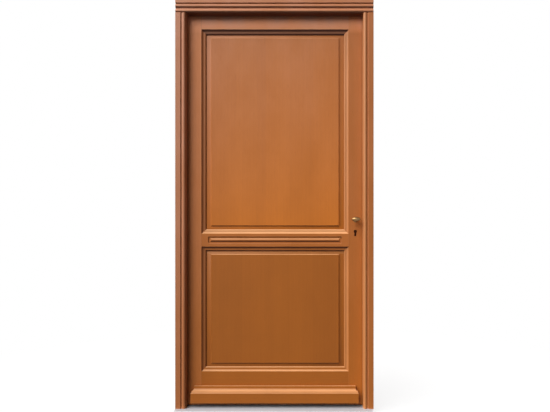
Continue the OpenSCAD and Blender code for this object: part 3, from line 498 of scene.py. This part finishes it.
SMUDGE_SCALE = 90.0
SMUDGE_RANGE = (0.35, 0.7)
SMUDGE_ROUGHNESS = 0.1
FINE_SCALE = 1400.0
PATINA = srgb(74, 44, 16)
PATINA_REACH = 0.006
PATINA_RANGE = (0.1, 0.7)
PATINA_SHARE = 0.55


def brass(name, base, worn, roughness):
    """Brass with faint smudges, brighter where it is handled."""
    g = Graph(name)
    place = g.coordinates()
    smudges = g.noise(place, SMUDGE_SCALE)
    fine = g.noise(place, FINE_SCALE, detail=2.0, roughness=0.5)
    colour = g.mix(g.remap(smudges, SMUDGE_RANGE, FULL), srgb(*base), srgb(*worn))
    patina = g.remap(g.crevice(PATINA_REACH), PATINA_RANGE, (PATINA_SHARE, 0.0))
    g.fill(
        g.shader,
        Base_Color=g.mix(patina, colour, PATINA),
        Metallic=1.0,
        Roughness=g.math("MULTIPLY_ADD", smudges, SMUDGE_ROUGHNESS, roughness),
        Normal=g.bump(fine, strength=0.06, distance=0.0001),
    )
    return g.material


LINE_STRETCH = 0.02
LINE_SCALE = 1600.0
LINE_RANGE = (0.3, 0.7)
LINE_ROUGHNESS = 0.15
CLOUD_SCALE = 14.0
CLOUD_RANGE = (0.4, 0.75)
CLOUD_SHARE = 0.25


def brushed(name, base, along, roughness, contrast, metallic=1.0):
    """Metal with fine lines along an axis."""
    g = Graph(name)
    lines = g.noise(g.coordinates(stretch(along, LINE_STRETCH)), LINE_SCALE)
    clouds = g.noise(g.coordinates(), CLOUD_SCALE)
    dark = srgb(*[v * (1 - contrast) for v in base])
    colour = g.mix(g.remap(lines, LINE_RANGE, FULL), dark, srgb(*base))
    g.fill(
        g.shader,
        Base_Color=g.mix(g.remap(clouds, CLOUD_RANGE, (0.0, CLOUD_SHARE)), colour, dark),
        Metallic=metallic,
        Roughness=g.math("MULTIPLY_ADD", lines, LINE_ROUGHNESS, roughness),
        Normal=g.bump(lines, strength=0.12, distance=0.0002),
    )
    return g.material


RUBBER_SCALE = 2500.0
RUBBER_RANGE = (0.3, 0.7)
RUBBER_ROUGHNESS = (0.55, 0.8)
RUBBER_COLOUR = srgb(30, 27, 25)
RUBBER_DUST = srgb(62, 56, 50)
DUST_SCALE = 30.0
DUST_RANGE = (0.4, 0.8)
DUST_SHARE = 0.5


def rubber(name):
    """Dark rubber with a fine grain and a little dust."""
    g = Graph(name)
    grain = g.noise(g.coordinates(), RUBBER_SCALE, detail=2.0, roughness=0.5)
    dust = g.noise(g.coordinates(), DUST_SCALE)
    g.fill(
        g.shader,
        Base_Color=g.mix(g.remap(dust, DUST_RANGE, (0.0, DUST_SHARE)), RUBBER_COLOUR, RUBBER_DUST),
        Roughness=g.remap(grain, RUBBER_RANGE, RUBBER_ROUGHNESS),
        Normal=g.bump(grain, strength=0.2, distance=0.0002),
    )
    return g.material


STEEL = brushed("zinc_plated_steel", (176, 176, 180), along="z", roughness=0.30, contrast=0.18)
SLOTS = {
    "aluminium": brushed(
        "anodised_aluminium", (194, 193, 197), along="x", roughness=0.5, contrast=0.08, metallic=0.3
    ),
    "seal_rubber": rubber("seal_rubber"),
    "brass": brass("satin_brass", (180, 138, 78), (200, 158, 96), roughness=0.30),
    "polished_brass": brass("polished_brass", (118, 90, 56), (150, 118, 80), roughness=0.24),
    "bronzed_brass": brass("bronzed_brass", (44, 20, 11), (64, 32, 18), roughness=0.34),
    "steel": STEEL,
}


def dress(obj, material):
    """Give an object one material."""
    obj.data.materials.clear()
    obj.data.materials.append(material)


slot_of = {part["node"]: part["material_slot"] for part in frame["record"]["subparts"]}
for node, obj in nodes.items():
    if node in WOODEN:
        dress(obj, wood("wood_" + node, *corners_of(node), **WOODEN[node]))
        soften(obj, ARRIS)
    else:
        dress(obj, SLOTS[slot_of[node]])
        soften(obj)


# Latch spring: a coil in the place of its solid, riding with the leaf

SPRING_TURNS = 10
SPRING_STEPS = 20
SPRING_SIDES = 8
WIRE_RADIUS = 0.0005


def coil(name, low, high):
    """Coil of round wire along x that fills a box."""
    axis_y = (low[1] + high[1]) / 2
    axis_z = (low[2] + high[2]) / 2
    radius = (high[2] - low[2]) / 2 - WIRE_RADIUS
    length = high[0] - low[0] - 2 * WIRE_RADIUS
    rings = SPRING_TURNS * SPRING_STEPS
    shape = bmesh.new()
    wire = []
    for i in range(rings + 1):
        turn = 2 * math.pi * i / SPRING_STEPS
        ring = []
        for j in range(SPRING_SIDES):
            around = 2 * math.pi * j / SPRING_SIDES
            r = radius + WIRE_RADIUS * math.cos(around)
            x = low[0] + WIRE_RADIUS + length * i / rings + WIRE_RADIUS * math.sin(around)
            ring.append(shape.verts.new((x, axis_y + r * math.cos(turn), axis_z + r * math.sin(turn))))
        wire.append(ring)
    for near, far in zip(wire, wire[1:]):
        for j in range(SPRING_SIDES):
            k = (j + 1) % SPRING_SIDES
            shape.faces.new((near[j], near[k], far[k], far[j]))
    shape.faces.new(wire[0])
    shape.faces.new(wire[-1])
    bmesh.ops.recalc_face_normals(shape, faces=shape.faces)
    mesh = bpy.data.meshes.new(name)
    shape.to_mesh(mesh)
    shape.free()
    obj = bpy.data.objects.new(name, mesh)
    scene.collection.objects.link(obj)
    return obj


spring_low, spring_high = corners_of("latch_spring")
spring = coil("latch_coil", spring_low, spring_high)
dress(spring, STEEL)
soften(spring)
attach(spring, "leaf")
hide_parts("latch_spring")
tuple(spring_low)
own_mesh(spring)


# Floor, world and lamps

WHITE = (1, 1, 1, 1)
FLOOR_COLOUR = (0.82, 0.81, 0.80)
FLOOR_BOUNCE = (0.05, 0.048, 0.046)
FLOOR_ROUGHNESS = 0.9
FLOOR_SPECULAR = 0.1
FLOOR_HALF = 30.0
FLOOR_DROP = 0.0005
FADE_RANGE = (0.9, 2.6)
FADE_TO_WHITE = (0.8, 1.0)
WORLD_FILL = 0.05


def directly_seen(tree):
    """1 for camera, glossy and transmission rays, which see the white, and 0 for those that light."""
    path = tree.nodes.new("ShaderNodeLightPath")
    seen = path.outputs["Is Camera Ray"]
    for ray in ("Is Glossy Ray", "Is Transmission Ray"):
        either = tree.nodes.new("ShaderNodeMath")
        either.operation = "MAXIMUM"
        tree.links.new(seen, either.inputs[0])
        tree.links.new(path.outputs[ray], either.inputs[1])
        seen = either.outputs[0]
    return seen


def pale_floor():
    """Large pale floor that fades into the white background but keeps the object's shadow."""
    mesh = bpy.data.meshes.new("floor")
    square = [(x * FLOOR_HALF, y * FLOOR_HALF, 0) for x, y in ((-1, -1), (1, -1), (1, 1), (-1, 1))]
    mesh.from_pydata(square, [], [(0, 1, 2, 3)])
    obj = bpy.data.objects.new("floor", mesh)
    scene.collection.objects.link(obj)
    obj.location.z = -FLOOR_DROP
    g = Graph("pale_floor")
    seen = directly_seen(g.tree)
    g.fill(
        g.shader,
        Base_Color=g.mix(seen, FLOOR_BOUNCE, FLOOR_COLOUR),
        Roughness=FLOOR_ROUGHNESS,
        Specular_IOR_Level=FLOOR_SPECULAR,
    )
    white = g.new("Emission")
    g.fill(white, Color=WHITE)
    away = g.new("VectorMath")
    away.operation = "LENGTH"
    g.put(g.coordinates(), away.inputs[0])
    fade = g.remap(away.outputs["Value"], FADE_RANGE, FADE_TO_WHITE)
    both = g.new("MixShader")
    g.put(g.math("MULTIPLY", seen, fade), both.inputs[0])
    g.put(g.shader.outputs[0], both.inputs[1])
    g.put(white.outputs[0], both.inputs[2])
    g.fill(g.tree.nodes["Material Output"], Surface=both.outputs[0])
    mesh.materials.append(g.material)


def white_world(fill):
    """White background with a soft fill light on the object."""
    world = bpy.data.worlds.new("studio")
    world.use_nodes = True
    scene.world = world
    tree = world.node_tree
    background = tree.nodes["Background"]
    background.inputs["Color"].default_value = WHITE
    level = tree.nodes.new("ShaderNodeMapRange")
    level.inputs["To Min"].default_value = fill
    level.inputs["To Max"].default_value = 1.0
    tree.links.new(directly_seen(tree), level.inputs["Value"])
    tree.links.new(level.outputs["Result"], background.inputs["Strength"])


def lamp(name, place, target, power, size=None, angle=None):
    """Square lamp of a size in metres, or far-off light as wide as an angle in degrees."""
    data = bpy.data.lights.new(name, "AREA" if size else "SUN")
    if size:
        data.size = size
    else:
        data.angle = math.radians(angle)
    data.energy = power
    obj = bpy.data.objects.new(name, data)
    scene.collection.objects.link(obj)
    obj.location = place
    aim = [t - p for t, p in zip(target, place)]
    yaw = math.atan2(aim[0], -aim[1])
    pitch = math.atan2(math.hypot(aim[0], aim[1]), -aim[2])
    obj.rotation_euler = (pitch, 0, math.pi + yaw)


pale_floor()
white_world(WORLD_FILL)
lamp("sky", place=(-11.6, -9.7, 14.2), target=(0.0, 0.0, 1.1), power=5.35, angle=62)
lamp("back_fill", place=(2.6, 4.2, 4.6), target=(0.0, 0.0, 1.0), power=300, size=4.0)


# Camera at the photograph's place, level, with the horizon below the middle of the picture

CAMERA_X = 0.15
CAMERA_Z = 0.84
CAMERA_DISTANCE = 2.45
FRAME_FACE_Y = -0.048
SENSOR_WIDTH = 36.0
LENS = 31.2
SHIFT_X = -0.052
SHIFT_Y = 0.079

camera = bpy.data.cameras.new("camera")
camera.sensor_width = SENSOR_WIDTH
camera.lens = LENS
camera.shift_x = SHIFT_X
camera.shift_y = SHIFT_Y
eye = bpy.data.objects.new("camera", camera)
scene.collection.objects.link(eye)
eye.location = (CAMERA_X, FRAME_FACE_Y - CAMERA_DISTANCE, CAMERA_Z)
eye.rotation_euler = (math.pi / 2, 0, 0)
scene.camera = eye
